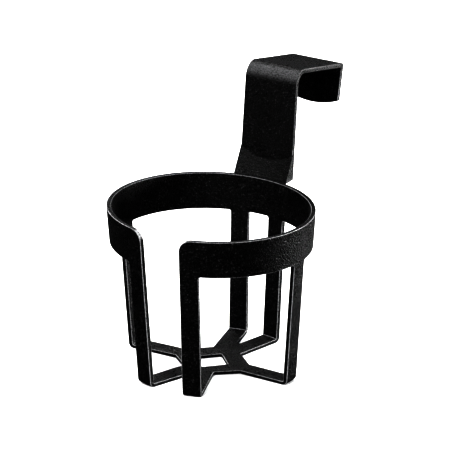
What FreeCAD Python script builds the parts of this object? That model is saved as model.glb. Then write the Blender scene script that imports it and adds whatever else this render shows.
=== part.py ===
"""Hook-over cup holder: an open basket of flat strips that hangs from an edge by a strap.

The real thing is one black injection moulding.  It is modelled as that moulding, sized in a
spreadsheet, and then divided at clean cross-sections into the members it is made of, so that
each member is its own solid and meets its neighbours face to face.

Design frame: the rim's centre is the origin, its top face is Z = 0 and the hook is towards +Y.
The basket's axis leans: its floor is set a little to the rear, under the hook.
The finished members are placed so that the origin is the centre of the footprint, on the floor.
"""
import FreeCAD, Part
import Sketcher
import math
import os

DOC = FreeCAD.newDocument("cup_holder")

# Driving dimensions: millimetres, and degrees for the angles.
DIMENSIONS = {
    # rim band and basket walls
    "rim_radius": 45.0,
    "band_height": 16.7,
    "wall": 2.1,
    "gap_corner_radius": 5.4,
    # strips of the basket
    "basket_depth": 74.6,
    "basket_lean": 4.06,
    "foot_radius": 40.0,
    "floor_thickness": 1.7,
    "strip_width": 8.3,
    "foot_bend": 2.6,
    "foot_crease": 0.5,
    "corner_round": 0.9,
    "rear_angle": 12.7,
    "rear_pivot": 0.8,
    "side_angle": 1.8,
    "side_pivot": 0.4,
    "front_angle": 18.3,
    "front_pivot": 2.7,
    # hub, a diamond ring that all six arms grow from
    "hub_rear_corner": 12.8,
    "hub_side_corner": 16.2,
    "hub_front_corner": 12.0,
    "hole_rear": 8.0,
    "hole_side": 8.3,
    "hole_front": 10.0,
    "hole_shift": 1.0,
    # tongue between the rim and the hanger strap
    "tongue_top": 14.0,
    "root": 1.0,
    "ledge": 0.4,
    "flare": 0.47,
    # hanger: strap, bend, top plate and lip
    "strap_front": 47.7,
    "strap_lean": 2.6,
    "strap_width_low": 26.0,
    "strap_width_high": 25.5,
    "strap_thickness": 2.0,
    "crown_height": 50.4,
    "plate_slope": 10.7,
    "hook_rear": 94.0,
    "lip_lean": 9.4,
    "lip_bottom": 23.0,
    "lip_arc": 34.0,
    "outer_bend": 6.5,
    "rear_bend": 1.2,
    "rear_crease": 0.6,
    # edges of the moulding
    "edge_round": 0.45,
    # where the moulding is divided into members
    "leg_seam": 18.6,
    "hub_seam": 23.5,
    "foot_seam": 36.2,
    "tongue_seam": 1.2,
    "bend_seam_low": 42.0,
    "bend_seam_rear": 58.0,
    "lip_seam": 39.5,
    # room around the object for cutting tools
    "trim": 8.0,
    "reach": 60.0,
    "surround": 140.0,
}


def make_sheet():
    """Put every driving dimension into an aliased spreadsheet cell."""
    sheet = DOC.addObject("Spreadsheet::Sheet", "Dims")
    for row, (alias, value) in enumerate(DIMENSIONS.items(), start=1):
        sheet.set("A%d" % row, alias)
        sheet.set("B%d" % row, str(value))
        sheet.setAlias("B%d" % row, alias)
    DOC.recompute()
    return sheet


def dims(expression):
    """Write an expression on cell names: each {name} becomes a reference to the sheet."""
    return expression.replace("{", "Dims.").replace("}", "")


# ---------------------------------------------------------------- sketches and features

def origin_feature(body, role):
    """Find one of the body's own origin planes or axes."""
    return next(item for item in body.Origin.OriginFeatures if item.Role == role)


def new_sketch(body, name, plane, height=None):
    """Attach a sketch to an origin plane of its body, moved along the normal by an expression."""
    sketch = body.newObject("Sketcher::SketchObject", name)
    sketch.AttachmentSupport = (origin_feature(body, plane), [""])
    sketch.MapMode = "FlatFace"
    if height:
        sketch.setExpression("AttachmentOffset.Base.z", dims(height))
    return sketch


def axis_sketch(body, name, height):
    """Attach a level sketch at a height, with its origin on the basket's leaning axis."""
    sketch = new_sketch(body, name, "XY_Plane", height)
    along = "-(%s) * tan({basket_lean})" % height
    sketch.setExpression("AttachmentOffset.Base.y", dims(along))
    return sketch


def dimension(sketch, kind, references, expression, name):
    """Add one driving dimension and bind it to an expression."""
    constraint = Sketcher.Constraint(kind, *references, 1.0)
    index = sketch.addConstraint(constraint)
    sketch.renameConstraint(index, name)
    sketch.setExpression("Constraints." + name, dims(expression))


def add_outline(sketch, tag, corners):
    """Draw a closed outline whose corners are dimensioned from the sketch origin."""
    count = len(corners)
    guides = [FreeCAD.Vector(1, 0, 0), FreeCAD.Vector(0, 1, 0)]
    first = sketch.GeometryCount
    for index in range(count):
        start = guides[index % 2] * (index + 1)
        end = guides[(index + 1) % 2] * (index + 2)
        sketch.addGeometry(Part.LineSegment(start, end), False)
    for index in range(count):
        line = first + index
        following = first + (index + 1) % count
        sketch.addConstraint(Sketcher.Constraint("Coincident", line, 2, following, 1))
    for index, (across, along) in enumerate(corners):
        line = first + index
        dimension(sketch, "DistanceX", (-1, 1, line, 1), across, "%s_x%d" % (tag, index))
        dimension(sketch, "DistanceY", (-1, 1, line, 1), along, "%s_y%d" % (tag, index))


def add_frame(sketch, tag):
    """Draw the large square that bounds a cut made outside an outline."""
    far = "{surround}"
    near = "-{surround}"
    add_outline(sketch, tag, [(near, near), (far, near), (far, far), (near, far)])


def add_circle(sketch, tag, height, radius):
    """Draw a circle on the sketch's vertical axis."""
    circle = Part.Circle(FreeCAD.Vector(0, 0, 0), FreeCAD.Vector(0, 0, 1), 1.0)
    index = sketch.addGeometry(circle, False)
    dimension(sketch, "DistanceX", (-1, 1, index, 3), "0", tag + "_x")
    dimension(sketch, "DistanceY", (-1, 1, index, 3), height, tag + "_y")
    dimension(sketch, "Radius", (index,), radius, tag + "_radius")


def pad(body, name, sketch, length):
    """Pad a sketch equally to both sides of its plane."""
    feature = body.newObject("PartDesign::Pad", name)
    feature.Profile = sketch
    feature.SideType = "Symmetric"
    feature.setExpression("Length", dims(length))
    return feature


def pocket(body, name, sketch, length):
    """Cut a sketch through the body, away from its plane's normal."""
    feature = body.newObject("PartDesign::Pocket", name)
    feature.Profile = sketch
    feature.setExpression("Length", dims(length))
    return feature


def axis_pocket(body, name, sketch):
    """Cut a sketch downwards along the basket's leaning axis."""
    feature = pocket(body, name, sketch, "{surround}")
    feature.UseCustomVector = True
    feature.setExpression("Direction.x", "0")
    feature.setExpression("Direction.y", dims("sin({basket_lean})"))
    feature.setExpression("Direction.z", dims("-cos({basket_lean})"))
    return feature


def turn(body, kind, name, sketch):
    """Revolve or groove a sketch all the way round its vertical axis."""
    feature = body.newObject("PartDesign::" + kind, name)
    feature.Profile = sketch
    feature.ReferenceAxis = (sketch, ["V_Axis"])
    feature.Angle = 360
    return feature


def face_normal(face, point):
    """Outward normal of a face at one of its points."""
    along, across = face.Surface.parameter(point)
    return face.normalAt(along, across)


def is_sharp_corner(shape, edge):
    """Tell whether an edge is an outward corner rather than an inward or a smooth one."""
    faces = shape.ancestorsOfType(edge, Part.Face)
    point = edge.valueAt((edge.FirstParameter + edge.LastParameter) / 2)
    spread = face_normal(faces[0], point) - face_normal(faces[1], point)
    if spread.Length < 0.35:
        return False
    spread.normalize()
    return not shape.isInside(point + spread * 0.02, 1e-6, True)


def round_edges(body, name, base, wanted, radius):
    """Fillet every edge of the base feature that passes the test."""
    DOC.recompute()
    numbered = enumerate(base.Shape.Edges, start=1)
    edges = ["Edge%d" % number for number, edge in numbered if wanted(edge)]
    feature = body.newObject("PartDesign::Fillet", name)
    feature.Base = (base, edges)
    feature.setExpression("Radius", dims(radius))
    return feature


def size(alias):
    """Read a driving dimension, for picking edges by their place."""
    return DIMENSIONS[alias]


# ---------------------------------------------------------------- plan of the basket

def strip_edge(pivot, angle):
    """Distance from the axis at which the two inner edges of a pair of strips meet."""
    return "({%s} + {strip_width} / 2 / sin({%s}))" % (pivot, angle)


def hub_corner(pivot, angle, corner):
    """Sideways place of the outer edge of a strip at a given distance along the basket."""
    middle = "({%s} - {%s}) * tan({%s})" % (corner, pivot, angle)
    return "(%s + {strip_width} / 2 / cos({%s}))" % (middle, angle)


def side_corner(sign):
    """Lengthwise place of one edge of a side strip where it leaves the hub."""
    centre = "{side_pivot} - {hub_side_corner} * tan({side_angle})"
    return "(%s %s {strip_width} / 2 / cos({side_angle}))" % (centre, sign)


def rear_window():
    """Opening between the two rear strips."""
    notch = strip_edge("rear_pivot", "rear_angle")
    across = "{reach} * sin({rear_angle})"
    along = "%s + {reach} * cos({rear_angle})" % notch
    return [("0", notch), (across, along), ("-" + across, along)]


def front_window():
    """Opening between the two front strips, which is also the gap in the rim."""
    notch = strip_edge("front_pivot", "front_angle")
    across = "{reach} * sin({front_angle})"
    along = "-%s - {reach} * cos({front_angle})" % notch
    return [("0", "-" + notch), ("-" + across, along), (across, along)]


def rear_side_window(side):
    """Opening between a rear strip and a side strip, on the side with the given sign."""
    corner = hub_corner("rear_pivot", "rear_angle", "hub_rear_corner")
    far_corner = "(%s + {reach} * sin({rear_angle}))" % corner
    far_side = "({hub_side_corner} + {reach} * cos({side_angle}))"
    return [
        (side + corner, "{hub_rear_corner}"),
        (side + far_corner, "{hub_rear_corner} + {reach} * cos({rear_angle})"),
        (side + far_side, side_corner("+") + " - {reach} * sin({side_angle})"),
        (side + "{hub_side_corner}", side_corner("+")),
    ]


def front_side_window(side):
    """Opening between a side strip and a front strip, on the side with the given sign."""
    corner = hub_corner("front_pivot", "front_angle", "hub_front_corner")
    far_corner = "(%s + {reach} * sin({front_angle}))" % corner
    far_side = "({hub_side_corner} + {reach} * cos({side_angle}))"
    return [
        (side + "{hub_side_corner}", side_corner("-")),
        (side + far_side, side_corner("-") + " - {reach} * sin({side_angle})"),
        (side + far_corner, "-{hub_front_corner} - {reach} * cos({front_angle})"),
        (side + corner, "-{hub_front_corner}"),
    ]


def hub_hole():
    """Diamond hole in the middle of the hub."""
    return [
        ("0", "{hole_rear}"),
        ("-{hole_side}", "-{hole_shift}"),
        ("0", "-{hole_front}"),
        ("{hole_side}", "-{hole_shift}"),
    ]


# ---------------------------------------------------------------- the moulding

def cone_radius(height, inset):
    """Radius of the tapered wall at a height along its own axis, less an inset."""
    taper = "({rim_radius} - {foot_radius}) * cos({basket_lean}) / {basket_depth}"
    return "{rim_radius} + (%s) * %s - %s" % (height, taper, inset)


def make_cup(body):
    """Turn a tapered tube about the leaning axis, trim it level and close it with a floor."""
    profile = new_sketch(body, "TubeProfile", "XZ_Plane")
    profile.AttachmentOffset = FreeCAD.Placement(FreeCAD.Vector(), FreeCAD.Rotation(0, 0, 1))
    profile.setExpression("AttachmentOffset.Rotation.Angle", dims("{basket_lean}"))
    top = "{trim}"
    foot = "-{basket_depth} / cos({basket_lean}) - {trim}"
    add_outline(profile, "tube", [
        (cone_radius(foot, "{wall}"), foot),
        (cone_radius(foot, "0"), foot),
        (cone_radius(top, "0"), top),
        (cone_radius(top, "{wall}"), top),
    ])
    turn(body, "Revolution", "Tube", profile)
    for name, height in (("RimTrim", "{surround}"), ("FloorTrim", "-{basket_depth}")):
        trim = new_sketch(body, name + "Frame", "XY_Plane", height)
        add_frame(trim, "frame")
        pocket(body, name, trim, "{surround}")
    disc = axis_sketch(body, "FloorDisc", "-{basket_depth} + {floor_thickness} / 2")
    add_circle(disc, "disc", "0", "{foot_radius} - {wall} / 2")
    return pad(body, "Floor", disc, "{floor_thickness}")


def make_basket():
    """Cut windows through the cup that leave a band, six strips and a hub."""
    body = DOC.addObject("PartDesign::Body", "Basket")
    cup = make_cup(body)
    outer = round_edges(body, "FootBend", cup, ring_at(-size("basket_depth")), "{foot_bend}")
    inner_level = size("floor_thickness") - size("basket_depth")
    round_edges(body, "FootCrease", outer, ring_at(inner_level), "{foot_crease}")
    windows = axis_sketch(body, "Windows", "-{band_height}")
    add_outline(windows, "rear", rear_window())
    for side, tag in (("", "right"), ("-", "left")):
        add_outline(windows, "rear_" + tag, rear_side_window(side))
        add_outline(windows, "front_" + tag, front_side_window(side))
    add_outline(windows, "hole", hub_hole())
    axis_pocket(body, "WindowCut", windows)
    gap = axis_sketch(body, "Gap", "{band_height}")
    add_outline(gap, "gap", front_window())
    cut = axis_pocket(body, "GapCut", gap)
    inside = round_edges(body, "WindowCorners", cut, is_window_corner, "{corner_round}")
    ends = round_edges(body, "GapCorners", inside, is_gap_corner, "{gap_corner_radius}")
    return round_edges(body, "BasketEdges", ends, is_basket_edge(ends), "{edge_round}")


def ring_at(height):
    """Make a test for the circular edges that lie at a height."""
    def wanted(edge):
        box = edge.BoundBox
        level = abs(box.ZMin - height) < 0.01 and abs(box.ZMax - height) < 0.01
        return level and box.XLength > size("rim_radius")
    return wanted


def is_outer_edge(base):
    """Make a test for the outward corners of the hanger that do not lie on the rim."""
    def wanted(edge):
        on_rim = edge.BoundBox.ZMin < 0.01 and edge.BoundBox.YMin < size("strap_front")
        return not on_rim and is_sharp_corner(base.Shape, edge)
    return wanted


def is_basket_edge(base):
    """Make a test for every outward corner of the basket."""
    def wanted(edge):
        return is_sharp_corner(base.Shape, edge)
    return wanted


def is_window_corner(edge):
    """Pick the short straight edges across the material at the corners of the windows."""
    box = edge.BoundBox
    return edge.Length < 1.2 * size("wall") and edge.Curve.TypeId == "Part::GeomLine" and box.ZMax < -1


def is_gap_corner(edge):
    """Pick the two short edges across the wall at the top of the gap in the rim."""
    box = edge.BoundBox
    short = edge.Length < 2 * size("wall")
    return short and abs(box.ZMin) < 0.01 and abs(box.ZMax) < 0.01 and box.YMax < 0


def make_hanger():
    """Pad the tongue and the bent strip of the hook from their side profiles."""
    body = DOC.addObject("PartDesign::Body", "Hanger")
    add_tongue(body)
    strip = new_sketch(body, "HookProfile", "YZ_Plane")
    add_outline(strip, "hook", hook_profile())
    pad(body, "Hook", strip, "{strap_width_low}")
    lip = new_sketch(body, "LipArc", "XZ_Plane", "-{reach}")
    add_frame(lip, "frame")
    add_circle(lip, "arc", "{lip_bottom} + {lip_arc}", "{lip_arc}")
    pocket(body, "LipCut", lip, "{surround}")
    sides = new_sketch(body, "SideTaper", "XZ_Plane", "{surround}")
    add_frame(sides, "frame")
    add_outline(sides, "taper", [
        ("-{strap_width_low} / 2 - ({strap_width_low} - {strap_width_high}) / 2", "-{crown_height}"),
        ("{strap_width_low} / 2 + ({strap_width_low} - {strap_width_high}) / 2", "-{crown_height}"),
        ("{strap_width_high} / 2", "{crown_height}"),
        ("-{strap_width_high} / 2", "{crown_height}"),
    ])
    cut = pocket(body, "SideCut", sides, "2 * {surround}")
    return round_bends(body, cut)


def rear_radius():
    """Distance from the rim's centre to its rear, where the leaning cone is cut level."""
    taper = "({rim_radius} - {foot_radius}) * cos({basket_lean}) / {basket_depth}"
    return "{rim_radius} / (cos({basket_lean}) + %s * sin({basket_lean}))" % taper


def add_tongue(body):
    """Pad the wedge between rim and strap, then turn its hollow front and its underside."""
    rim = rear_radius()
    foot = rim + " - {ledge}"
    wedge = new_sketch(body, "TongueProfile", "YZ_Plane")
    add_outline(wedge, "wedge", [
        ("{rim_radius} / 2", "-{root}"),
        (strap_face("0", "1"), "-{root}"),
        (strap_face("0", "1"), "0"),
        (strap_face("{tongue_top}", "1"), "{tongue_top}"),
        ("{rim_radius} / 2", "{tongue_top}"),
    ])
    pad(body, "Tongue", wedge, "{strap_width_low}")
    flare = new_sketch(body, "FlareProfile", "XZ_Plane")
    add_outline(flare, "flare", [
        ("0", "-2 * {root}"),
        (foot, "-2 * {root}"),
        (foot, "0"),
        (foot + " + {flare} * {reach}", "{reach}"),
        ("0", "{reach}"),
    ])
    turn(body, "Groove", "Flare", flare)
    underside = new_sketch(body, "UndersideProfile", "XZ_Plane")
    add_outline(underside, "under", [
        (rim, "-2 * {root}"),
        ("{surround}", "-2 * {root}"),
        ("{surround}", "0"),
        (rim, "0"),
    ])
    turn(body, "Groove", "Underside", underside)


def round_bends(body, base):
    """Round the crown and the rear corner of the bent strip, outside and inside."""
    thick = size("strap_thickness")
    crown_y = size("strap_front") + size("crown_height") * slope_of("strap_lean")
    crown_z = size("crown_height")
    rear_y = size("hook_rear")
    rear_z = crown_z - (rear_y - crown_y) * slope_of("plate_slope")
    steps = (
        ("CrownInner", crown_y + thick, crown_z - 1.2 * thick, "{outer_bend} - {strap_thickness}"),
        ("CrownOuter", crown_y, crown_z, "{outer_bend}"),
        ("RearOuter", rear_y, rear_z, "{rear_bend}"),
        ("RearInner", rear_y - 1.1 * thick, rear_z - 0.8 * thick, "{rear_crease}"),
    )
    for name, along, height, radius in steps:
        base = round_edges(body, name, base, cross_edge_near(along, height), radius)
    return round_edges(body, "HangerEdges", base, is_outer_edge(base), "{edge_round}")


def slope_of(alias):
    """Tangent of one of the sheet's angles."""
    return math.tan(math.radians(size(alias)))


def cross_edge_near(along, height):
    """Make a test for the edge that runs across the hook close to a point of its side view."""
    def wanted(edge):
        box = edge.BoundBox
        level = box.YLength < 0.01 and box.ZLength < 0.01
        near = abs(box.Center.y - along) + abs(box.Center.z - height) < size("strap_thickness")
        return level and near
    return wanted


def strap_face(height, side):
    """Lengthwise place of the strap at a height: side 0 is its front face and 1 its rear."""
    across = "%s * {strap_thickness} / cos({strap_lean})" % side
    return "({strap_front} + %s * tan({strap_lean}) + %s)" % (height, across)


def hook_profile():
    """Outline of the bent strip: strap, crown, sloping plate and lip, at one thickness."""
    crown_y = strap_face("{crown_height}", "0")
    rear_z = "({crown_height} - ({hook_rear} - %s) * tan({plate_slope}))" % crown_y
    front = "{strap_thickness} / (1 - sin({plate_slope} - {strap_lean}))"
    back = "{strap_thickness} / (1 + sin({plate_slope} - {lip_lean}))"
    lip_y = "({hook_rear} - (%s - {lip_bottom}) * tan({lip_lean}))" % rear_z
    return [
        (strap_face("0", "0"), "0"),
        (crown_y, "{crown_height}"),
        ("{hook_rear}", rear_z),
        (lip_y, "{lip_bottom}"),
        (lip_y + " - {strap_thickness} / cos({lip_lean})", "{lip_bottom}"),
        ("{hook_rear} - %s * (sin({plate_slope}) + cos({lip_lean}))" % back,
         "%s - %s * (cos({plate_slope}) - sin({lip_lean}))" % (rear_z, back)),
        ("%s + %s * (cos({strap_lean}) - sin({plate_slope}))" % (crown_y, front),
         "{crown_height} - %s * (sin({strap_lean}) + cos({plate_slope}))" % front),
        (strap_face("0", "1"), "0"),
    ]


def make_moulding():
    """Join the basket and the hanger into the one moulding that is later divided."""
    basket = make_basket()
    hanger = make_hanger()
    moulding = DOC.addObject("Part::Fuse", "Moulding")
    moulding.Base = basket.getParentGeoFeatureGroup()
    moulding.Tool = hanger.getParentGeoFeatureGroup()
    moulding.Refine = True
    return moulding


# ---------------------------------------------------------------- dividing the moulding

def block(name, low, high):
    """A box between two opposite corners given as expressions."""
    box = DOC.addObject("Part::Box", name)
    for axis, length, start, end in zip("xyz", ("Length", "Width", "Height"), low, high):
        box.setExpression("Placement.Base." + axis, dims(start))
        box.setExpression(length, dims("%s - (%s)" % (end, start)))
    return box


def drum(name, radius):
    """An upright cylinder round the middle of the basket's floor."""
    cylinder = DOC.addObject("Part::Cylinder", name)
    cylinder.setExpression("Radius", dims(radius))
    cylinder.setExpression("Height", dims("{basket_depth} / 2"))
    cylinder.setExpression("Placement.Base.y", dims("{basket_depth} * tan({basket_lean})"))
    cylinder.setExpression("Placement.Base.z", dims("-{basket_depth} - {root}"))
    return cylinder


def combine(kind, name, base, tool):
    """A boolean of two shapes."""
    result = DOC.addObject("Part::" + kind, name)
    result.Base = base
    result.Tool = tool
    return result


def limb_regions():
    """Blocks that each hold one limb of the basket, from the hub out past the wall."""
    far = "{surround}"
    low = "-{surround}"
    top = "-{leg_seam}"
    fore = "-{hub_front_corner}"
    aft = "{hub_rear_corner}"
    return {
        "front_left": block("FrontLeftRegion", ("-" + far, "-" + far, low), ("0", fore, top)),
        "front_right": block("FrontRightRegion", ("0", "-" + far, low), (far, fore, top)),
        "left": block("LeftRegion", ("-" + far, fore, low), ("0", aft, top)),
        "right": block("RightRegion", ("0", fore, low), (far, aft, top)),
        "rear_left": block("RearLeftRegion", ("-" + far, aft, low), ("0", far, top)),
        "rear_right": block("RearRightRegion", ("0", aft, low), (far, far, top)),
    }


def divide_basket(moulding):
    """Give the rim band, the six legs, the six arms and the hub a solid each."""
    members = {}
    far = "{surround}"
    band = block("RimRegion", ("-" + far, "-" + far, "-{leg_seam}"), (far, far, "{tongue_seam}"))
    members["rim_band"] = combine("Common", "RimBand", moulding, band)
    hub_drum = drum("HubDrum", "{hub_seam}")
    foot_drum = drum("FootDrum", "{foot_seam}")
    members["hub_frame"] = combine("Common", "HubFrame", moulding, hub_drum)
    for place, region in limb_regions().items():
        title = place.title().replace("_", "")
        limb = combine("Common", title + "Limb", moulding, region)
        members[place + "_leg"] = combine("Cut", title + "Leg", limb, foot_drum)
        inner = combine("Common", title + "Inner", limb, foot_drum)
        members[place + "_arm"] = combine("Cut", title + "Arm", inner, hub_drum)
    return members


def divide_hanger(moulding):
    """Give the tongue, the strap, the crown bend, the top plate and the lip a solid each."""
    far = "{surround}"
    near = "-{surround}"
    regions = {
        "rear_tongue": ((near, near, "{tongue_seam}"), (far, far, "{tongue_top}")),
        "hanger_strap": ((near, near, "{tongue_top}"), (far, "{bend_seam_rear}", "{bend_seam_low}")),
        "hook_crown": ((near, near, "{bend_seam_low}"), (far, "{bend_seam_rear}", far)),
        "hook_top_plate": ((near, "{bend_seam_rear}", "{lip_seam}"), (far, far, far)),
        "hook_lip": ((near, "{bend_seam_rear}", "0"), (far, far, "{lip_seam}")),
    }
    members = {}
    for name, (low, high) in regions.items():
        title = name.title().replace("_", "")
        members[name] = combine("Common", title, moulding, block(title + "Region", low, high))
    return members


def place_members(moulding, members):
    """Label the members and move the origin to the centre of the footprint, on the floor."""
    DOC.recompute()
    box = moulding.Shape.optimalBoundingBox()
    shift = FreeCAD.Vector(-box.Center.x, -box.Center.y, -box.ZMin)
    for label, member in members.items():
        member.Label = label
        member.Placement = FreeCAD.Placement(shift, FreeCAD.Rotation())
    DOC.recompute()


def export(members):
    """Stop on any failed object, then write one STEP file per member."""
    for item in DOC.Objects:
        if "Invalid" in item.State or "Error" in item.State:
            raise RuntimeError("%s failed to rebuild" % item.Label)
    os.makedirs("parts", exist_ok=True)
    for label, member in members.items():
        if member.Shape.isNull() or not member.Shape.isValid():
            raise RuntimeError("%s has no valid solid" % label)
        member.Shape.exportStep("parts/%s.step" % label)


def main():
    """Build the moulding, divide it and export its members."""
    make_sheet()
    moulding = make_moulding()
    members = divide_basket(moulding)
    members.update(divide_hanger(moulding))
    place_members(moulding, members)
    export(members)


main()
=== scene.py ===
"""Black moulded cup holder that hooks over an edge, on a pale floor in soft studio light."""
import math

import bpy
from mathutils import Matrix, Vector

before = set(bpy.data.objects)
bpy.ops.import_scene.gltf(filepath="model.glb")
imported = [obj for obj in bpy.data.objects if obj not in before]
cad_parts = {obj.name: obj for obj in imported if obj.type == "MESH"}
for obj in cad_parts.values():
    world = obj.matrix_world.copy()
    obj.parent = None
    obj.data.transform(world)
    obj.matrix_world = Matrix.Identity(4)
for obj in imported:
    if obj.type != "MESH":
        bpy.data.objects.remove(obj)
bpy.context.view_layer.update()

# The photograph's view. Angles are in degrees and lengths in metres.
VIEW_AZIMUTH = 29.26
VIEW_ELEVATION = 19.915
VIEW_ROLL = 1.821
VIEW_DISTANCE = 1.5
VIEW_LENS = 279.8
VIEW_CLIP_START = 0.05
AIM_RIGHT = 0.006107
AIM_DOWN = 0.008522
RIM_CENTRE = Vector((0.0, -0.02506, 0.0746))
# The basket's axis leans forward as it rises: at height z, its y is -(LEAN z + AXIS_SHIFT).
LEAN = math.tan(math.radians(4.06))
AXIS_SHIFT = -RIM_CENTRE.y - LEAN * RIM_CENTRE.z

# The plastic. Scales are in features per metre and the grain's depth in metres. Most values
# of a noise lie within NOISE_SPREAD.
GRAIN_SCALE = 1500.0
GRAIN_DETAIL = 4.0
GRAIN_DEPTH = 0.0006
PATCH_SCALE = 90.0
NOISE_SPREAD = (0.3, 0.7)
GRAIN_ROUGHNESS = (0.22, 0.42)
PATCH_ROUGHNESS = (-0.03, 0.03)
GLOSS_LEVEL = 0.27
DEEP_BLACK = (0.002, 0.002, 0.002, 1.0)
# The grey of the grain's specks, and of the highlights painted on rounded edges and on the
# hook's bend.
SPECK_AND_HIGHLIGHT_GREY = (0.40, 0.40, 0.41, 1.0)

# Greyness runs from 0, black, to 1, fully grey: painted highlight on rounded edges and the
# hook's bend, and the grain's own tone in specks. Spans of turn are explained in turning().
LEVEL_EDGE_TURN = (0.10, 0.18)
SIDE_EDGE_TURN = (0.03, 0.14)
BEND_TURN = (0.0, 0.15)
# Strength of the painted highlights on the hanger's edges and on its bend, and how far the grain
# breaks the painted highlights up.
HANGER_EDGE_HIGHLIGHT = 0.3
BEND_SHEEN = 0.24
HIGHLIGHT_GRAIN = (0.3, 0.6)
HIGHLIGHT_STRENGTH = (0.4, 1.0)
SPECK_GRAIN = (0.60, 0.74)
SPECK_WEAR = (0.0, 0.22)

# The pale floor.
FLOOR_HALF = 6.0
MOTTLE_SCALE = 9.0
PAPER_GREY = (0.90, 0.90, 0.90, 1.0)
PAPER_PALE = (0.93, 0.93, 0.93, 1.0)
PAPER_ROUGHNESS = 0.9
PAPER_GLOSS_LEVEL = 0.1

# Each softbox: name, azimuth and elevation, distance, width and height, and power in watts.
SOFTBOXES = [
    ("key", -4.0, 42.0, 1.2, 0.4, 0.6, 23.0),
    ("back", -150.0, 44.0, 1.2, 0.5, 0.4, 5.0),
    ("right_rim", 144.0, 6.0, 1.0, 0.4, 0.3, 30.0),
    ("left_rim", -118.0, 14.0, 1.0, 0.3, 0.4, 10.0),
]
# The room's light grows from the walls to the ceiling, as the direction's height goes from
# the first value of CEILING_RISE to the second.
CEILING_RISE = (0.45, 0.85)
ROOM_LIGHT = (0.05, 1.6)
VIEW_GAMMA = 0.54


# ---------------------------------------------------------------- shader helpers

def new_material(name):
    """Make an empty node material and return it with its shader node."""
    material = bpy.data.materials.new(name)
    material.use_nodes = True
    return material, material.node_tree.nodes["Principled BSDF"]


def add_node(tree, kind, **values):
    """Add a node and set its unlinked inputs and settings by name."""
    node = tree.nodes.new(kind)
    for name, value in values.items():
        label = name.replace("_", " ").title()
        if label in node.inputs:
            node.inputs[label].default_value = value
        else:
            setattr(node, name, value)
    return node


def noise(tree, coordinates, scale, detail=2.0):
    """Noise from 0 to 1 in the object's own coordinates, scale in features per metre."""
    node = add_node(tree, "ShaderNodeTexNoise", scale=scale, detail=detail)
    tree.links.new(coordinates.outputs["Object"], node.inputs["Vector"])
    return node.outputs["Fac"]


def ramp(tree, output, source, result=(0.0, 1.0)):
    """Map a value from its own range onto another, clamped."""
    node = add_node(tree, "ShaderNodeMapRange", from_min=source[0], from_max=source[1],
                    to_min=result[0], to_max=result[1])
    tree.links.new(output, node.inputs["Value"])
    return node.outputs["Result"]


def math_node(tree, operation, *values):
    """A maths node; each value is a number or another node's output."""
    node = tree.nodes.new("ShaderNodeMath")
    node.operation = operation
    for socket, value in zip(node.inputs, values):
        if isinstance(value, (int, float)):
            socket.default_value = value
        else:
            tree.links.new(value, socket)
    return node.outputs["Value"]


def split(tree, output):
    """The three components of a vector."""
    node = tree.nodes.new("ShaderNodeSeparateXYZ")
    tree.links.new(output, node.inputs["Vector"])
    return node.outputs["X"], node.outputs["Y"], node.outputs["Z"]


def blend(tree, factor, first, second):
    """A colour between two others."""
    node = add_node(tree, "ShaderNodeMixRGB", color1=first, color2=second)
    tree.links.new(factor, node.inputs["Fac"])
    return node.outputs["Color"]


# ---------------------------------------------------------------- materials

def turning(tree, component, span):
    """Zero where a normal lies along or square to an axis, and one where it turns in between.

    The component is the part of the normal along that axis. The turn is 0 along and square to
    the axis and 0.29 halfway, and the span holds the turns that count as zero and as one.
    """
    square = math_node(tree, "MULTIPLY", component, component)
    aside = math_node(tree, "SQRT", math_node(tree, "SUBTRACT", 1.0, square))
    steepest = math_node(tree, "MAXIMUM", math_node(tree, "ABSOLUTE", component), aside)
    return ramp(tree, math_node(tree, "SUBTRACT", 1.0, steepest), span)


def round_the_axis(tree, normal, coordinates):
    """The part of the normal that points round the basket's leaning axis."""
    x, y, z = split(tree, coordinates.outputs["Object"])
    behind = math_node(tree, "ADD", math_node(tree, "MULTIPLY_ADD", z, LEAN, y), AXIS_SHIFT)
    square = math_node(tree, "MULTIPLY", behind, behind)
    reach = math_node(tree, "SQRT", math_node(tree, "MULTIPLY_ADD", x, x, square))
    sideways = math_node(tree, "SUBTRACT", math_node(tree, "MULTIPLY", normal[0], behind),
                         math_node(tree, "MULTIPLY", normal[1], x))
    return math_node(tree, "DIVIDE", sideways, reach)


def painted_edge_highlights(tree, coordinates, layout):
    """One along the rounded edges of a member, where the surface turns from face to face; a
    highlight is painted there.

    The layout names the edges that count: those of level faces for "flat", those of the
    hanger's sides for "straight" and "bent", both for "hanging", and both, but with sides
    that point round the basket, for "round" and "leg". A leg's broad bend into the base
    faces down and gets no painted highlight.
    """
    normal = split(tree, coordinates.outputs["Normal"])
    if layout == "flat":
        return turning(tree, normal[2], LEVEL_EDGE_TURN)
    side = round_the_axis(tree, normal, coordinates) if layout in ("round", "leg") else normal[0]
    side_edges = turning(tree, side, SIDE_EDGE_TURN)
    if layout in ("straight", "bent"):
        return side_edges
    level_edges = turning(tree, normal[2], LEVEL_EDGE_TURN)
    if layout == "leg":
        upward = math_node(tree, "GREATER_THAN", normal[2], 0.0)
        level_edges = math_node(tree, "MULTIPLY", level_edges, upward)
    return math_node(tree, "MAXIMUM", level_edges, side_edges)


def painted_bend_sheen(tree, coordinates):
    """One on the bend over the top of the hook, where a sheen is painted."""
    normal = split(tree, coordinates.outputs["Normal"])
    return turning(tree, normal[2], BEND_TURN)


def plastic_roughness(tree, coordinates, grain):
    """Roughness that follows the grain, with broad patches of slightly different gloss."""
    patches = noise(tree, coordinates, PATCH_SCALE)
    fine = ramp(tree, grain, NOISE_SPREAD, GRAIN_ROUGHNESS)
    broad = ramp(tree, patches, NOISE_SPREAD, PATCH_ROUGHNESS)
    return math_node(tree, "ADD", fine, broad)


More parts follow.
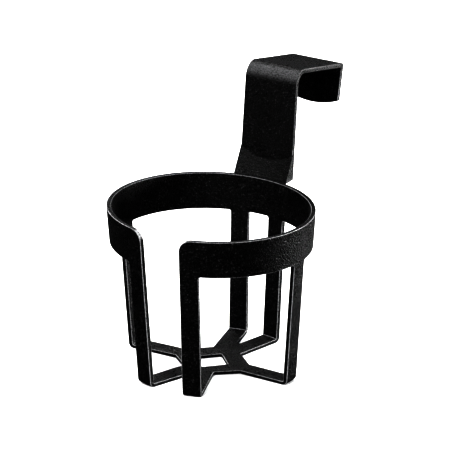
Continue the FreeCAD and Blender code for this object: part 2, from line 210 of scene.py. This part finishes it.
def specks_and_painted_highlights(tree, coordinates, grain, layout):
    """How far the surface has turned from black to grey: sparse specks of the grain's tone, and
    highlights painted on rounded edges and, for the hanger, on its bend.
    """
    greyness = painted_edge_highlights(tree, coordinates, layout)
    if layout == "bent":
        edges = math_node(tree, "MULTIPLY", greyness, HANGER_EDGE_HIGHLIGHT)
        sheen_on_bend = math_node(tree, "MULTIPLY", painted_bend_sheen(tree, coordinates), BEND_SHEEN)
        greyness = math_node(tree, "MAXIMUM", edges, sheen_on_bend)
    # The painted edge highlights, broken up by the grain.
    grainy_highlights = math_node(tree, "MULTIPLY", greyness, ramp(tree, grain, HIGHLIGHT_GRAIN, HIGHLIGHT_STRENGTH))
    specks = ramp(tree, grain, SPECK_GRAIN, SPECK_WEAR)
    return math_node(tree, "MAXIMUM", grainy_highlights, specks)


def black_plastic(layout):
    """Through-coloured black plastic with a spark-eroded grain, grey specks, and highlights
    painted as paler colour on its edges.
    """
    material, shader = new_material("black_plastic_" + layout)
    tree = material.node_tree
    shader.inputs["Specular IOR Level"].default_value = GLOSS_LEVEL
    coordinates = add_node(tree, "ShaderNodeTexCoord")
    grain = noise(tree, coordinates, GRAIN_SCALE, GRAIN_DETAIL)
    tree.links.new(plastic_roughness(tree, coordinates, grain), shader.inputs["Roughness"])
    greyness = specks_and_painted_highlights(tree, coordinates, grain, layout)
    tree.links.new(blend(tree, greyness, DEEP_BLACK, SPECK_AND_HIGHLIGHT_GREY), shader.inputs["Base Color"])

    bump = add_node(tree, "ShaderNodeBump", strength=1.0, distance=GRAIN_DEPTH)
    tree.links.new(grain, bump.inputs["Height"])
    tree.links.new(bump.outputs["Normal"], shader.inputs["Normal"])
    return material


def pale_floor_material():
    """Matt pale paper with the faintest mottling."""
    material, shader = new_material("pale_floor")
    tree = material.node_tree
    shader.inputs["Roughness"].default_value = PAPER_ROUGHNESS
    shader.inputs["Specular IOR Level"].default_value = PAPER_GLOSS_LEVEL
    coordinates = add_node(tree, "ShaderNodeTexCoord")
    mottle = noise(tree, coordinates, MOTTLE_SCALE)
    tree.links.new(blend(tree, mottle, PAPER_GREY, PAPER_PALE), shader.inputs["Base Color"])
    return material


def layout_of(name):
    """Which edges of a member get painted highlights."""
    if name == "hook_lip":
        return "hanging"
    if name == "rear_tongue":
        return "straight"
    if name.startswith(("hook", "hanger")):
        return "bent"
    if name.endswith("_leg"):
        return "leg"
    return "round" if name == "rim_band" else "flat"


def dress_members():
    """Give every member of the moulding the same plastic, in the version for its layout."""
    plastics = {}
    for name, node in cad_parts.items():
        layout = layout_of(name)
        if layout not in plastics:
            plastics[layout] = black_plastic(layout)
        node.data.materials.clear()
        node.data.materials.append(plastics[layout])


# ---------------------------------------------------------------- studio

def direction(azimuth, elevation):
    """Unit vector away from the holder; azimuth 0 is in front and 90 to the right."""
    turn = math.radians(azimuth)
    rise = math.radians(elevation)
    level = math.cos(rise)
    return Vector((math.sin(turn) * level, -math.cos(turn) * level, math.sin(rise)))


def add_floor():
    """A wide pale floor that the base stands on; the plastic mirrors the dim room instead."""
    half = FLOOR_HALF
    mesh = bpy.data.meshes.new("floor")
    corners = [(-half, -half, 0), (half, -half, 0), (half, half, 0), (-half, half, 0)]
    mesh.from_pydata(corners, [], [(0, 1, 2, 3)])
    mesh.materials.append(pale_floor_material())
    floor = bpy.data.objects.new("floor", mesh)
    floor.visible_glossy = False
    bpy.context.scene.collection.objects.link(floor)


def add_world():
    """A dim room with a bright ceiling."""
    world = bpy.data.worlds.new("studio")
    world.use_nodes = True
    tree = world.node_tree
    coordinates = add_node(tree, "ShaderNodeTexCoord")
    height = split(tree, coordinates.outputs["Generated"])[2]
    strength = ramp(tree, height, CEILING_RISE, ROOM_LIGHT)
    background = tree.nodes["Background"]
    background.inputs["Color"].default_value = (1.0, 1.0, 1.0, 1.0)
    tree.links.new(strength, background.inputs["Strength"])
    bpy.context.scene.world = world


def add_softbox(name, azimuth, elevation, distance, width, height, power):
    """A rectangular area light aimed at the middle of the ring."""
    away = direction(azimuth, elevation)
    data = bpy.data.lights.new(name, "AREA")
    data.shape = "RECTANGLE"
    data.size = width
    data.size_y = height
    data.energy = power
    light = bpy.data.objects.new(name, data)
    light.location = RIM_CENTRE + away * distance
    light.rotation_euler = away.to_track_quat("Z", "Y").to_euler()
    bpy.context.scene.collection.objects.link(light)


def add_camera():
    """Look at the ring from the front right, as the photograph does."""
    turn = math.radians(VIEW_AZIMUTH)
    right = Vector((math.cos(turn), math.sin(turn), 0.0))
    place = RIM_CENTRE + direction(VIEW_AZIMUTH, VIEW_ELEVATION) * VIEW_DISTANCE
    target = RIM_CENTRE + right * AIM_RIGHT + Vector((0.0, 0.0, -AIM_DOWN))
    data = bpy.data.cameras.new("camera")
    data.lens = VIEW_LENS
    data.clip_start = VIEW_CLIP_START
    camera = bpy.data.objects.new("camera", data)
    aim = (place - target).to_track_quat("Z", "Y").to_matrix().to_4x4()
    roll = Matrix.Rotation(math.radians(VIEW_ROLL), 4, "Z")
    camera.matrix_world = Matrix.Translation(place) @ aim @ roll
    bpy.context.scene.collection.objects.link(camera)
    bpy.context.scene.camera = camera


def build():
    """Dress the holder and set up the studio."""
    dress_members()
    add_floor()
    add_world()
    for softbox in SOFTBOXES:
        add_softbox(*softbox)
    add_camera()
    view = bpy.context.scene.view_settings
    view.view_transform = "Standard"
    view.gamma = VIEW_GAMMA


build()
